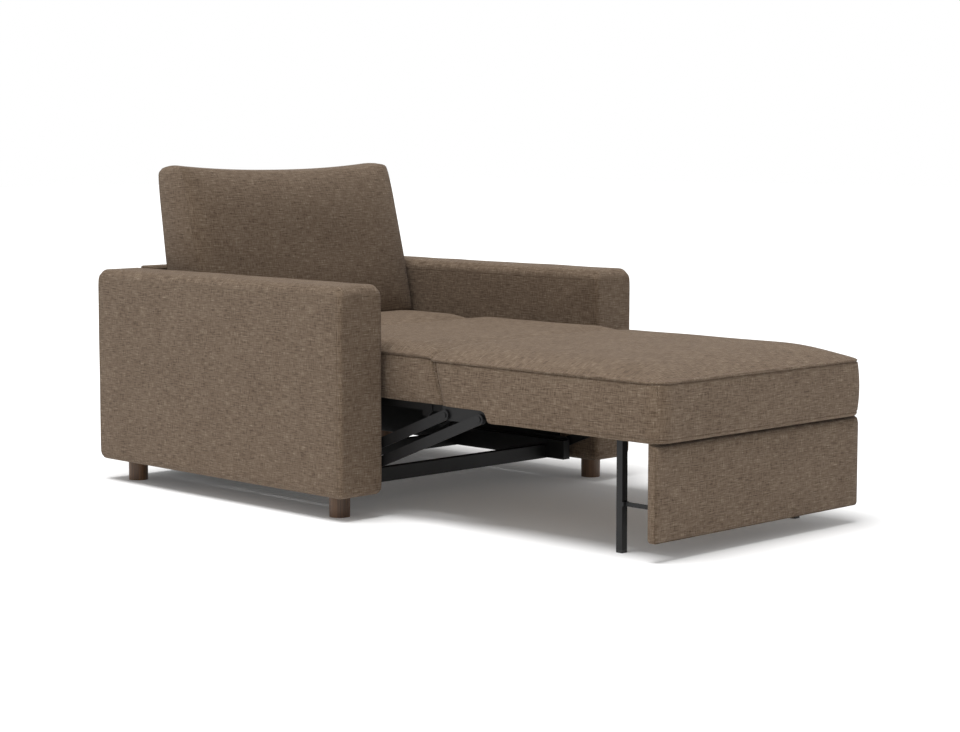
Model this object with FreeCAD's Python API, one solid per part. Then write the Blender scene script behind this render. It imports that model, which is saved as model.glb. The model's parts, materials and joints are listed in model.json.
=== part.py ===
import FreeCAD, Part
import math
import os

# A convertible chair bed, drawn as a lounger with its foot section swung out.
# X runs across the seat, Y from the foot end to the back, Z up from the floor.
# Sizes are millimetres. Y values below are measured from the front of the arms,
# and every piece is moved by shift_y when it is written, which puts the origin
# on the floor at the middle of the outline.

# Body
body_depth = 1012.0
arm_height = 588.0
arm_width = 145.5
inner_half = 397.0
floor_gap = 58.0
arm_pad = 22.0
arm_edge_radius = 20.0
post_length = 70.0
arm_rail_height = 45.0
back_thickness = 47.0
back_height = 594.0
back_pad = 12.0
frame_clearance = 0.3

# Feet
foot_top_radius = 27.0
foot_low_radius = 26.5
foot_inset_x = 72.0
foot_inset_y = 78.0
foot_bolt_radius = 5.0
foot_bolt_length = 60.0

# Sections of the lying surface
fold_y = -169.0
fold_z = 405.0
fold_lean = 0.3674
fold_gap = 3.0
crease_y = 420.0
crease_gap = 2.0
rear_end_y = 730.0
foot_reach = 914.0
foot_side_gap = 2.0
section_side_gap = 15.0
deck_level = 300.0
seam_level = 406.0
foot_crown = 452.0
inner_seam = 414.0
middle_crown = 444.0
rear_crown = 440.0
end_arc = 6.0
bevel_level = 418.0
trim_margin = 40.0
foot_corner_radius = 48.0
side_draw = 5.0
rear_frame_height = 22.0
flap_bevel = 30.0

# Steel frame of the base
rail_width = 24.0
rail_height = 52.0
rail_low = 60.0
rail_side_gap = 23.0
rail_front = 70.0
rail_rear = 535.0
tube_wall = 2.5
crossbar_low = 58.0
crossbar_height = 37.0
crossbar_depth = 25.0
front_crossbar_y = 141.0
rear_crossbar_y = 505.0
flange_size = 70.0
flange_thickness = 4.0

# Parallel links that swing the foot section
link_travel = 860.0
base_pivot_z = 108.0
foot_pivot_z = 278.0
lower_pivot_y = -342.0
upper_pivot_y = -222.0
link_width = 26.0
link_thickness = 5.0
link_side_gap = 11.0
bracket_thickness = 5.0
pin_radius = 5.0
pin_head_radius = 6.5
pin_head_height = 2.5
pin_clearance = 0.3

# Foot section
tube_size = 25.0
foot_frame_gap = 18.0
border_height = 28.0
border_setback = 4.0
border_rear_y = -430.0
leg_inset = 51.3
leg_size = 18.0
glide_height = 8.0
stay_z = 115.0
stay_height = 10.0
stay_thickness = 4.0
stay_length = 115.5
panel_side_gap = 11.0
panel_low = 44.0
panel_top = 271.0
panel_pad = 18.0
panel_board = 10.0
board_inset = 8.0
board_step = 6.0
tab_reach = 30.0
screw_drop = 12.0
panel_edge_radius = 8.0
panel_inset = 14.0
slat_thickness = 8.0
slat_width = 50.0
slat_pitch = 120.0

# Middle section
middle_frame_height = 23.0
frame_setback = 12.0
middle_travel_y = 360.0
middle_travel_z = -177.0
guide_pin_y = 250.0
guide_pin_radius = 6.0
roller_length = 51.7
guide_thickness = 3.5
guide_margin = 16.0
guide_headroom = 2.0
hook_y = -100.0
hook_length = 34.0
hook_drop = 26.0
hook_tip = 4.0
hook_strip = 160.0
hook_thickness = 4.0

# Rear section, a flap that hangs from two side pivots
flap_pivot_y = 772.5
flap_pivot_z = 457.5
flap_plate_gap = 10.5
flap_plate_front = 700.0
eye_half = 13.0
eye_drop = 8.0
flap_frame_step = 4.0
shelf_depth = 130.0
shelf_thickness = 10.0
shelf_side_gap = 13.0
shelf_bracket_x = 220.0
shelf_bracket_depth = 26.0
shelf_bracket_height = 60.0

# Loose back cushion
cushion_side_gap = 14.0
cushion_height = 438.0
cushion_setback = 262.0
cushion_thickness = 176.0
cushion_lean = 0.197
cushion_bulge = 20.0
cushion_side_bulge = 3.0
cushion_ear = 18.0

shift_y = (foot_reach - body_depth) / 2.0
arm_outer = inner_half + arm_width
link_dy = link_travel / 2.0
back_front_y = body_depth - back_thickness
foot_x = arm_outer - foot_inset_x
foot_half = inner_half - foot_side_gap
inner_section_half = inner_half - section_side_gap
rail_outer = inner_half - rail_side_gap
link_inner = inner_half - link_side_gap
foot_frame_half = inner_half - foot_frame_gap
panel_half = inner_half - panel_side_gap
board_half = panel_half - board_inset
guide_inner = inner_half - guide_thickness
flap_plate_inner = inner_half - flap_plate_gap
shelf_half = inner_half - shelf_side_gap
cushion_half = inner_half - cushion_side_gap
leg_x = foot_frame_half - leg_inset
rail_inner = rail_outer - rail_width
shelf_front = back_front_y - shelf_depth
shelf_top = rear_crown
cushion_base = shelf_top + frame_clearance
cushion_front = back_front_y - cushion_setback
middle_frame_half = inner_half - pin_clearance - roller_length
leg_y = panel_pad + panel_board + panel_inset - foot_reach + stay_length + leg_size / 2


def vec(x, y, z):
    return FreeCAD.Vector(x, y, z)


def box(x0, x1, y0, y1, z0, z1):
    """A block between two corners."""
    return Part.makeBox(x1 - x0, y1 - y0, z1 - z0, vec(x0, y0, z0))


def rod_x(x0, x1, y, z, radius):
    """A round bar along X."""
    return Part.makeCylinder(radius, x1 - x0, vec(x0, y, z), vec(1, 0, 0))


def rod_z(x, y, z0, z1, radius):
    return Part.makeCylinder(radius, z1 - z0, vec(x, y, z0), vec(0, 0, 1))


def tube(x0, x1, y0, y1, z0, z1, along):
    """A rectangular tube, open at both ends of the axis it runs along."""
    wall = {axis: tube_wall for axis in "xyz"}
    wall[along] = 0.0
    hole = box(x0 + wall["x"], x1 - wall["x"], y0 + wall["y"], y1 - wall["y"],
               z0 + wall["z"], z1 - wall["z"])
    return box(x0, x1, y0, y1, z0, z1).cut(hole)


def fuse_all(shapes):
    """One solid from shapes that meet or cross."""
    return shapes[0].multiFuse(shapes[1:]).removeSplitter()


def mirrored(shape):
    return shape.mirror(vec(0, 0, 0), vec(1, 0, 0))


def side_prism(points, x0, x1):
    """A prism along X from an outline in the YZ plane."""
    corners = [vec(x0, y, z) for y, z in points]
    face = Part.Face(Part.makePolygon(corners + corners[:1]))
    return face.extrude(vec(x1 - x0, 0, 0))


def bar_plate(y0, z0, y1, z1, width, x0, x1):
    """A flat bar in the YZ plane with round ends about two points."""
    length = math.hypot(y1 - y0, z1 - z0)
    side_y = -(z1 - z0) / length * width / 2
    side_z = (y1 - y0) / length * width / 2
    strip = side_prism([(y0 + side_y, z0 + side_z), (y1 + side_y, z1 + side_z),
                        (y1 - side_y, z1 - side_z), (y0 - side_y, z0 - side_z)], x0, x1)
    ends = [rod_x(x0, x1, y0, z0, width / 2), rod_x(x0, x1, y1, z1, width / 2)]
    return fuse_all([strip] + ends)


def fold_line_y(z):
    """Where the slanted joint between the foot and middle sections lies at a height."""
    return fold_y - (fold_z - z) * fold_lean


def write(name, shape):
    """Move a piece into the part's frame and write it under its node's name."""
    placed = shape.copy()
    placed.translate(vec(0, shift_y, 0))
    if len(placed.Solids) == 1:
        placed = placed.Solids[0]
    placed.exportStep("parts/" + name + ".step")
    print(name, len(placed.Solids), placed.isValid(), round(placed.Volume))


def write_pair(name, shape):
    """Write a piece of the right side and its mirror image."""
    write("right_" + name, shape)
    write("left_" + name, mirrored(shape))


def write_group(name, shapes):
    write(name, Part.makeCompound(shapes))


# Body

def arm_cover():
    """Padded upholstery over one arm, open underneath."""
    outer = box(inner_half, arm_outer, 0, body_depth, floor_gap, arm_height)
    rounded = [e for e in outer.Edges if e.BoundBox.ZMax > floor_gap + 1]
    outer = outer.makeFillet(arm_edge_radius, rounded)
    hollow = box(inner_half + arm_pad, arm_outer - arm_pad, arm_pad, body_depth - arm_pad,
                 floor_gap, arm_height - arm_pad)
    return outer.cut(hollow)


def arm_frame():
    """Timber frame inside one arm: two posts between a low and a high rail."""
    x0 = inner_half + arm_pad + frame_clearance
    x1 = arm_outer - arm_pad - frame_clearance
    y0 = arm_pad + frame_clearance
    y1 = body_depth - arm_pad - frame_clearance
    z1 = arm_height - arm_pad - frame_clearance
    low = box(x0, x1, y0, y1, floor_gap, floor_gap + arm_rail_height)
    high = box(x0, x1, y0, y1, z1 - arm_rail_height, z1)
    posts = [box(x0, x1, y, y + post_length, floor_gap, z1) for y in (y0, y1 - post_length)]
    frame = fuse_all([low, high] + posts)
    for y in foot_places():
        frame = frame.cut(rod_z(foot_x, y, floor_gap, floor_gap + foot_bolt_length,
                                foot_bolt_radius + frame_clearance))
    return frame


def back_cover():
    """Padded upholstery over the low back board, open underneath."""
    outer = box(-inner_half, inner_half, back_front_y, body_depth, floor_gap, back_height)
    top = [e for e in outer.Edges if e.BoundBox.ZMin > back_height - 1 and e.BoundBox.XLength > 1]
    outer = outer.makeFillet(back_pad, top)
    hollow = box(-inner_half + back_pad, inner_half - back_pad, back_front_y + back_pad,
                 body_depth - back_pad, floor_gap, back_height - back_pad)
    return outer.cut(hollow)


def back_board():
    gap = back_pad + frame_clearance
    return box(-inner_half + gap, inner_half - gap, back_front_y + gap, body_depth - gap,
               floor_gap, back_height - gap)


def foot_places():
    return (foot_inset_y, body_depth - foot_inset_y)


def wooden_foot(y):
    """A turned foot that tapers to the floor, bored for its bolt."""
    cone = Part.makeCone(foot_low_radius, foot_top_radius, floor_gap, vec(foot_x, y, 0))
    bore = rod_z(foot_x, y, floor_gap / 2, floor_gap, foot_bolt_radius + frame_clearance)
    return cone.cut(bore)


def foot_bolts():
    bolts = []
    for x in (-foot_x, foot_x):
        for y in foot_places():
            bolts.append(rod_z(x, y, floor_gap / 2, floor_gap + foot_bolt_length,
                               foot_bolt_radius))
    return bolts


# Base frame

def crossbar(y):
    """A tube across the base with a flange at each end against the arms."""
    z1 = crossbar_low + crossbar_height
    bar = tube(-inner_half, inner_half, y, y + crossbar_depth, crossbar_low, z1, "x")
    middle = y + crossbar_depth / 2
    for side in (-1, 1):
        ends = sorted((side * inner_half, side * (inner_half - flange_thickness)))
        plate = box(ends[0], ends[1], middle - flange_size / 2, middle + flange_size / 2,
                    crossbar_low, z1)
        bar = bar.fuse(plate)
    return bar.removeSplitter()


def base_rail():
    """A side rail of the base, capped in front and notched over the crossbars."""
    rail = tube(rail_inner, rail_outer, rail_front, rail_rear, rail_low,
                rail_low + rail_height, "y")
    cap = box(rail_inner, rail_outer, rail_front, rail_front + tube_wall, rail_low,
              rail_low + rail_height)
    rail = rail.fuse(cap).removeSplitter()
    for y in (front_crossbar_y, rear_crossbar_y):
        rail = rail.cut(box(rail_inner - 1, rail_outer + 1, y, y + crossbar_depth,
                            crossbar_low - 1, crossbar_low + crossbar_height))
    return rail


def base_pivots():
    return [(lower_pivot_y + link_dy, base_pivot_z), (upper_pivot_y + link_dy, base_pivot_z)]


def foot_pivots():
    return [(lower_pivot_y, foot_pivot_z), (upper_pivot_y, foot_pivot_z)]


def base_bracket():
    """The plate on a rail that carries the two fixed pivots of the links."""
    (y0, z0), (y1, z1) = base_pivots()
    x1 = rail_outer + bracket_thickness
    plate = bar_plate(y0, z0, y1, z1, link_width, rail_outer, x1)
    foot = box(rail_outer, x1, y0 - link_width / 2, y1 + link_width / 2,
               crossbar_low + crossbar_height + 1, z0)
    plate = fuse_all([plate, foot])
    for y, z in base_pivots():
        plate = plate.cut(rod_x(rail_outer - 1, x1 + 1, y, z, pin_radius))
    return plate


def pivot_pin(x0, x1, y, z):
    """A pin with a head beyond the link that turns on it."""
    head = rod_x(x1, x1 + pin_head_height, y, z, pin_head_radius)
    return fuse_all([rod_x(x0, x1, y, z, pin_radius), head])


def link_pins(places, x0):
    x1 = link_inner + link_thickness + pin_clearance
    pins = [pivot_pin(x0, x1, y, z) for y, z in places]
    return pins + [mirrored(pin) for pin in pins]


def guide_plate():
    """A plate on the arm with the slot that the middle section's rollers run in."""
    y0 = guide_pin_y
    z0 = guide_pin_z()
    y1 = y0 + middle_travel_y
    z1 = z0 + middle_travel_z
    x1 = inner_half
    slot_width = 2 * (guide_pin_radius + pin_clearance)
    plate = bar_plate(y0, z0, y1, z1, slot_width + guide_margin, guide_inner, x1)
    slot = bar_plate(y0, z0, y1, z1, slot_width, guide_inner - 1, x1 + 1)
    top = box(guide_inner - 1, x1 + 1, y0 - trim_margin, y1 + trim_margin,
              deck_level - guide_headroom, deck_level + trim_margin)
    return plate.cut(slot).cut(top)


def guide_pin_z():
    return deck_level - middle_frame_height / 2


def shelf():
    """A board behind the rear section that the loose cushion stands on."""
    return box(-shelf_half, shelf_half, shelf_front, back_front_y,
               shelf_top - shelf_thickness, shelf_top)


def shelf_brackets():
    """Angle brackets that carry the shelf from the back."""
    brackets = []
    top = shelf_top - shelf_thickness
    width = tube_size
    for x in (-shelf_bracket_x, 0, shelf_bracket_x):
        leaf = box(x - width, x + width, back_front_y - flange_thickness, back_front_y,
                   top - shelf_bracket_height, top)
        ledge = box(x - width, x + width, back_front_y - shelf_bracket_depth, back_front_y,
                    top - flange_thickness, top)
        brackets.append(fuse_all([leaf, ledge]))
    return brackets


# Links

def swing_link(index):
    """One link from its pivot on the base to its pivot on the foot section."""
    y0, z0 = base_pivots()[index]
    y1, z1 = foot_pivots()[index]
    x1 = link_inner + link_thickness
    link = bar_plate(y0, z0, y1, z1, link_width, link_inner, x1)
    for y, z in ((y0, z0), (y1, z1)):
        link = link.cut(rod_x(link_inner - 1, x1 + 1, y, z, pin_radius + pin_clearance))
    return link


# Cushions

def crowned_block(y0, y1, half, low, edge, top, draw):
    """A cushion body: drawn-in sides and a top that rises to a crown in the middle."""
    stations = ((0.0, 0.0), (0.09, 0.62), (0.3, 0.94), (0.5, 1.0), (0.7, 0.94), (0.91, 0.62),
                (1.0, 0.0))
    wires = []
    for share, rise in stations:
        y = y0 + share * (y1 - y0)
        crown = edge + end_arc + rise * (top - edge - end_arc)
        inner = half - draw
        corners = [vec(-inner, y, low), vec(inner, y, low), vec(inner, y, edge),
                   vec(-inner, y, edge)]
        right = Part.Arc(corners[1], vec(half, y, (low + edge) / 2), corners[2]).toShape()
        over = Part.Arc(corners[2], vec(0, y, crown), corners[3]).toShape()
        left = Part.Arc(corners[3], vec(-half, y, (low + edge) / 2), corners[0]).toShape()
        base = Part.LineSegment(corners[0], corners[1]).toShape()
        wires.append(Part.Wire([base, right, over, left]))
    return Part.makeLoft(wires, True, False)


def foot_cushion():
    """The cushion of the foot section, with round front corners and a slanted rear face."""
    y0 = -foot_reach
    y1 = fold_y + trim_margin
    high = foot_crown + trim_margin
    low = deck_level - trim_margin
    body = crowned_block(y0, y1, foot_half, deck_level, seam_level, foot_crown, side_draw)
    plan = box(-foot_half, foot_half, y0, y1, deck_level, high)
    front = [e for e in plan.Edges if e.BoundBox.ZLength > 1 and e.BoundBox.YMax < y0 + 1]
    plan = plan.makeFillet(foot_corner_radius, front)
    rear = side_prism([(fold_line_y(low) - fold_gap, low), (fold_line_y(high) - fold_gap, high),
                       (y1 + trim_margin, high), (y1 + trim_margin, low)],
                      -foot_half - 1, foot_half + 1)
    return body.common(plan).cut(rear)


def middle_rear_y():
    return crease_y - crease_gap


def middle_cushion():
    """The cushion of the middle section, undercut at the rear to let the flap pass."""
    front = fold_line_y(deck_level)
    rear = middle_rear_y()
    high = middle_crown + trim_margin
    body = crowned_block(front, rear, inner_section_half, deck_level, inner_seam,
                         middle_crown, side_draw)
    outline = [(front, deck_level), (fold_line_y(high), high), (rear, high),
               (rear, bevel_level), (rear - (bevel_level - deck_level), deck_level)]
    return body.common(side_prism(outline, -inner_section_half, inner_section_half))


def rear_cushion():
    """The cushion of the flap, bevelled where it meets the middle section."""
    low = deck_level + rear_frame_height
    high = rear_crown + trim_margin
    body = crowned_block(crease_y, rear_end_y, inner_section_half, low, inner_seam, rear_crown,
                         side_draw)
    outline = [(crease_y, high), (crease_y, bevel_level),
               (crease_y + flap_bevel, bevel_level - flap_bevel), (crease_y + flap_bevel, low),
               (rear_end_y, low), (rear_end_y, high)]
    return body.common(side_prism(outline, -inner_section_half, inner_section_half))


def back_cushion():
    """The loose cushion: leaning, crowned in front, with raised upper corners."""
    stations = ((0.0, 0.97, 0.78), (0.05, 0.985, 0.94), (0.3, 1.0, 1.0), (0.7, 1.0, 0.93),
                (0.93, 1.0, 0.8), (1.0, 0.985, 0.55))
    wires = []
    for share, wide, thick in stations:
        z = cushion_base + share * cushion_height
        middle = cushion_front + cushion_thickness / 2 + share * cushion_height * cushion_lean
        half_y = cushion_thickness * thick / 2
        half_x = cushion_half * wide
        front = middle - half_y
        rear = middle + half_y
        bulge = cushion_bulge * thick
        corners = [vec(-half_x, front + bulge, z), vec(half_x, front + bulge, z),
                   vec(half_x, rear, z), vec(-half_x, rear, z)]
        side_x = half_x + cushion_side_bulge
        face = Part.Arc(corners[0], vec(0, front, z), corners[1]).toShape()
        right = Part.Arc(corners[1], vec(side_x, middle, z), corners[2]).toShape()
        behind = Part.LineSegment(corners[2], corners[3]).toShape()
        left = Part.Arc(corners[3], vec(-side_x, middle, z), corners[0]).toShape()
        wires.append(Part.Wire([face, right, behind, left]))
    body = Part.makeLoft(wires, True, False)
    radius = (cushion_half ** 2 + cushion_ear ** 2) / (2 * cushion_ear)
    top = cushion_base + cushion_height
    sag = Part.makeCylinder(radius, body_depth, vec(0, 0, top - cushion_ear + radius),
                            vec(0, 1, 0))
    return body.cut(sag)


# Foot section

def section_frame(y0, y1, half, low, high, bars):
    """A flat steel frame: two side tubes joined by tubes across at the given places."""
    sides = []
    for side in (-1, 1):
        ends = sorted((side * half, side * (half - tube_size)))
        sides.append(tube(ends[0], ends[1], y0, y1, low, high, "y"))
    across = [tube(-half + tube_size, half - tube_size, y, y + tube_size, low, high, "x")
              for y in bars]
    return fuse_all(sides + across)


def panel_front():
    return -foot_reach + panel_inset


def foot_frame_front():
    return panel_front() + panel_pad + panel_board


def foot_frame_rear():
    return fold_line_y(deck_level - tube_size) - fold_gap


def foot_frame():
    """Frame of the foot section."""
    y0 = foot_frame_front()
    y1 = foot_frame_rear()
    bars = (y0, leg_y - tube_size / 2, (y0 + y1) / 2, y1 - tube_size)
    return section_frame(y0, y1, foot_frame_half, deck_level - tube_size, deck_level, bars)


def foot_border():
    """Upholstered edging below the cushion, round three sides of the frame."""
    low = deck_level - border_height
    half = foot_half - border_setback
    y0 = -foot_reach + border_setback
    outer = box(-half, half, y0, border_rear_y, low, deck_level)
    front = [e for e in outer.Edges if e.BoundBox.ZLength > 1 and e.BoundBox.YMax < y0 + 1]
    outer = outer.makeFillet(foot_corner_radius - border_setback, front)
    inner_half_x = foot_frame_half + frame_clearance
    hole = box(-inner_half_x, inner_half_x, foot_frame_front() - frame_clearance,
               border_rear_y + 1, low - 1, deck_level + 1)
    return outer.cut(hole)


def foot_bracket():
    """Plate under the foot frame's side that carries the two moving pivots."""
    x0 = foot_frame_half
    x1 = x0 + bracket_thickness
    (y0, z0), (y1, z1) = foot_pivots()
    plate = bar_plate(y0, z0, y1, z1, link_width, x0, x1)
    rib = box(x0, x1, y0 - link_width / 2, y1 + link_width / 2, z0, deck_level)
    plate = fuse_all([plate, rib])
    for y, z in foot_pivots():
        plate = plate.cut(rod_x(x0 - 1, x1 + 1, y, z, pin_radius))
    return plate


def leg():
    """A square steel leg below the foot frame, above its glide."""
    half = leg_size / 2
    return tube(leg_x - half, leg_x + half, leg_y - half, leg_y + half, glide_height,
                deck_level - tube_size, "z")


def leg_glide():
    """A plastic foot cap plugged into the leg."""
    half = leg_size / 2
    plug = half - tube_wall - frame_clearance
    cap = box(leg_x - half, leg_x + half, leg_y - half, leg_y + half, 0, glide_height)
    stem = box(leg_x - plug, leg_x + plug, leg_y - plug, leg_y + plug, glide_height,
               glide_height + 2 * leg_size)
    return cap.fuse(stem).removeSplitter()


def leg_stay():
    """A flat stay that holds the front panel upright against the leg."""
    half = stay_thickness / 2
    y0 = foot_frame_front()
    y1 = leg_y - leg_size / 2
    bar = box(leg_x - half, leg_x + half, y0, y1, stay_z - stay_height / 2,
              stay_z + stay_height / 2)
    pads = [box(leg_x - leg_size / 2, leg_x + leg_size / 2, y, y + stay_thickness,
                stay_z - stay_height / 2, stay_z + stay_height / 2)
            for y in (y0, y1 - stay_thickness)]
    return fuse_all([bar] + pads)


def panel_cover():
    """The upholstered front of the panel."""
    y0 = panel_front()
    pad = box(-panel_half, panel_half, y0, y0 + panel_pad, panel_low, panel_top)
    front = [e for e in pad.Edges if e.BoundBox.YMax < y0 + 1]
    return pad.makeFillet(panel_edge_radius, front)


def panel_back():
    """The board behind the upholstered front."""
    y0 = panel_front() + panel_pad
    return box(-board_half, board_half, y0, y0 + panel_board, panel_low + board_step, panel_top)


def panel_screws():
    """Screws through the board into the tabs under the foot frame."""
    y0 = foot_frame_front()
    screws = []
    for x in (-leg_x, 0, leg_x):
        z = panel_top - screw_drop
        tab = box(x - tube_size / 2, x + tube_size / 2, y0, y0 + stay_thickness,
                  panel_top - tab_reach, deck_level - tube_size)
        head = Part.makeCylinder(pin_radius, pin_head_height,
                                 vec(x, y0 + stay_thickness, z), vec(0, 1, 0))
        screws.append(fuse_all([tab, head]))
    return screws


def slats(y0, y1, half, level):
    """Plywood slats across a frame, centred between its bars, flush with its top."""
    pieces = []
    steps = int((y1 - y0 - slat_width) / slat_pitch)
    start = (y0 + y1 - slat_width - steps * slat_pitch) / 2
    for index in range(steps + 1):
        y = start + index * slat_pitch
        pieces.append(box(-half, half, y, y + slat_width, level - slat_thickness, level))
    return pieces


def foot_slats():
    """Slats let in between the side tubes, clear of the tubes across."""
    y0 = foot_frame_front()
    y1 = foot_frame_rear()
    half = foot_frame_half - tube_size - frame_clearance
    middle = (y0 + y1) / 2
    groups = slats(leg_y + tube_size, middle - tube_size / 2, half, deck_level)
    return groups + slats(middle + 1.5 * tube_size, y1 - 1.5 * tube_size, half, deck_level)


# Middle section

def middle_frame_ends():
    """Front and rear ends of the middle frame, inside the slanted ends of its cushion."""
    front = fold_line_y(deck_level - middle_frame_height) + frame_setback
    rear = middle_rear_y() - (bevel_level - deck_level) - middle_frame_height - fold_gap
    return front, rear


def middle_frame():
    y0, y1 = middle_frame_ends()
    bars = (y0, (y0 + y1) / 2, y1 - tube_size)
    return section_frame(y0, y1, middle_frame_half, deck_level - middle_frame_height,
                         deck_level, bars)


def middle_slats():
    y0, y1 = middle_frame_ends()
    middle = (y0 + y1) / 2
    half = middle_frame_half - tube_size - frame_clearance
    groups = slats(y0 + 1.5 * tube_size, middle - tube_size / 2, half, deck_level)
    return groups + slats(middle + 1.5 * tube_size, y1 - 1.5 * tube_size, half, deck_level)


def guide_roller():
    """The axle that runs from the middle frame into the guide slot."""
    return rod_x(middle_frame_half, inner_half - pin_clearance, guide_pin_y, guide_pin_z(),
                 guide_pin_radius)


def middle_hook():
    """A hook plate on the side of the middle frame, at its front."""
    low = deck_level - middle_frame_height
    x1 = middle_frame_half + hook_thickness
    outline = [(hook_y, deck_level), (hook_y, low - hook_drop / 2),
               (hook_y - hook_length / 2, low - hook_drop / 2 - hook_tip),
               (hook_y - hook_length, low), (hook_y - hook_length, deck_level)]
    strip = box(middle_frame_half, x1, hook_y - hook_length, hook_y + hook_strip, low,
                deck_level)
    return fuse_all([side_prism(outline, middle_frame_half, x1), strip])


# Rear section

def rear_frame():
    y0 = crease_y + flap_bevel + flap_frame_step
    bars = (y0, rear_end_y - tube_size)
    return section_frame(y0, rear_end_y, inner_section_half - flap_frame_step, deck_level,
                         deck_level + rear_frame_height, bars)


def rear_slats():
    y0 = crease_y + flap_bevel + flap_frame_step + 1.5 * tube_size
    half = inner_section_half - flap_frame_step - tube_size - frame_clearance
    return slats(y0, rear_end_y - 1.5 * tube_size, half, deck_level + rear_frame_height)


def flap_plate():
    """Side plate of the flap: from its frame up to the pivot beside the cushion."""
    x0 = flap_plate_inner
    x1 = x0 + bracket_thickness
    outline = [(flap_plate_front, deck_level), (rear_end_y, deck_level),
               (flap_pivot_y + eye_half, flap_pivot_z - eye_drop),
               (flap_pivot_y - eye_half, flap_pivot_z - eye_drop)]
    eye = rod_x(x0, x1, flap_pivot_y, flap_pivot_z, eye_half)
    root = box(inner_section_half - flap_frame_step, x0, flap_plate_front, rear_end_y, deck_level,
               deck_level + rear_frame_height - 1)
    plate = fuse_all([side_prism(outline, x0, x1), eye, root])
    return plate.cut(rod_x(x0 - 1, x1 + 1, flap_pivot_y, flap_pivot_z,
                           pin_radius + pin_clearance))


def flap_pins():
    """Pivot pins on the arms' inner faces."""
    x0 = flap_plate_inner - pin_clearance
    pin = rod_x(x0, inner_half, flap_pivot_y, flap_pivot_z, pin_radius)
    boss = rod_x(flap_plate_inner + bracket_thickness + pin_clearance, inner_half,
                 flap_pivot_y, flap_pivot_z, 2 * pin_radius)
    pin = fuse_all([pin, boss])
    return [pin, mirrored(pin)]


def main():
    os.makedirs("parts", exist_ok=True)
    write_pair("arm_cover", arm_cover())
    write_pair("arm_frame", arm_frame())
    write("back_cover", back_cover())
    write("back_board", back_board())
    write_pair("front_foot", wooden_foot(foot_places()[0]))
    write_pair("rear_foot", wooden_foot(foot_places()[1]))
    write_group("foot_bolts", foot_bolts())

    write("front_crossbar", crossbar(front_crossbar_y))
    write("rear_crossbar", crossbar(rear_crossbar_y))
    write_pair("base_rail", base_rail())
    write_pair("base_bracket", base_bracket())
    write_group("base_pins", link_pins(base_pivots(), rail_outer))
    write_pair("guide_plate", guide_plate())
    write("cushion_shelf", shelf())
    write_group("shelf_brackets", shelf_brackets())
    write_group("flap_pins", flap_pins())

    write_pair("lower_link", swing_link(0))
    write_pair("upper_link", swing_link(1))

    write("foot_frame", foot_frame())
    write("foot_cushion", foot_cushion())
    write("foot_border", foot_border())
    write_pair("foot_bracket", foot_bracket())
    write_group("foot_pins", link_pins(foot_pivots(), foot_frame_half))
    write_group("foot_slats", foot_slats())
    write_pair("leg", leg())
    write_group("leg_glides", [leg_glide(), mirrored(leg_glide())])
    write_pair("leg_stay", leg_stay())
    write("front_panel_cover", panel_cover())
    write("front_panel_board", panel_back())
    write_group("panel_tabs", panel_screws())

    write("middle_frame", middle_frame())
    write("middle_cushion", middle_cushion())
    write_group("middle_slats", middle_slats())
    write_group("guide_rollers", [guide_roller(), mirrored(guide_roller())])
    write_pair("middle_hook", middle_hook())

    write("rear_frame", rear_frame())
    write("rear_cushion", rear_cushion())
    write_group("rear_slats", rear_slats())
    write_pair("flap_plate", flap_plate())

    write("back_cushion", back_cushion())


main()
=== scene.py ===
import json
import math
import bpy
from mathutils import Euler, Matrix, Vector, noise


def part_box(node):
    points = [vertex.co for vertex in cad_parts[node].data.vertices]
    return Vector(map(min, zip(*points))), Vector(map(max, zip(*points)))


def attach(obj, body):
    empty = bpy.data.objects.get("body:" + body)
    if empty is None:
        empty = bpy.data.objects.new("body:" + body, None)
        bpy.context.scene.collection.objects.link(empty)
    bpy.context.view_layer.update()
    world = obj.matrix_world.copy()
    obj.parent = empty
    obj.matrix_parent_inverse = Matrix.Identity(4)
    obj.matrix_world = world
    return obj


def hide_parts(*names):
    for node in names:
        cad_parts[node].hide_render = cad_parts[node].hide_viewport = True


# A chair bed opened as a lounger. Upholstery is modelled here as sewn covers over
# foam, and stands in the space of the plain solids. Lengths are metres, in the frame
# of the part: X across, Y from the foot end to the back, Z up. Places along Y that
# have a name are measured from the front of the arms.

# Camera, fitted to the corners of the photographed object
CAMERA_PLACE = (-4.10923, -4.09673, 0.96316)
CAMERA_YAW = 44.75326
CAMERA_PITCH = 5.99599
CAMERA_LENS = 82.875
SENSOR_WIDTH = 36.0

# Light and floor
SKY_STRENGTH = 0.48
SUN_STRENGTH = 2.93
SUN_SOFTNESS = 32.0
SUN_FROM = (-0.20, 0.03, 0.97)
FLOOR_REACH = 30.0
FLOOR_PALE = 0.9
FLOOR_GLOW = 0.07

# Grid of a cover. Its lines stand closer at round edges and beside seams.
GRID = 0.012
EDGE_SHARES = (0.0, 0.16, 0.32, 0.51, 0.73)
SEAM_OFFSETS = (-2, -1, -0.5, 0, 0.5, 1, 2)
SEAM_CLEARANCE = 2.5
SAME_LINE = 1e-5
TOLERANCE = 1e-6
ROUNDING = 1e-9

# Sewing and padding that the covers share
SEAM_WIDTH = 0.0022
SEAM_DEPTH = 0.0020
SEAM_SHARPNESS = 0.6
TUCK = 0.0038
TUCK_TOP_WIDTH = 0.0010
TUCK_SIDE_WIDTH = 0.0016
ROLL = 0.0050
ROLL_PLACE = 0.0035
ROLL_WIDTH = 0.0028
LIP_WIDTH = 0.0035
CALM_EDGE = 0.05
CROWN_POWER = 2.4
DIP_POWER = 2.0
# Painted shade: faces below this height, under the seat, get a near-black cloth in place of the
# shade that falls there
SHADE_TOP = 0.40
WEAVE_SHIFT = 0.37

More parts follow.
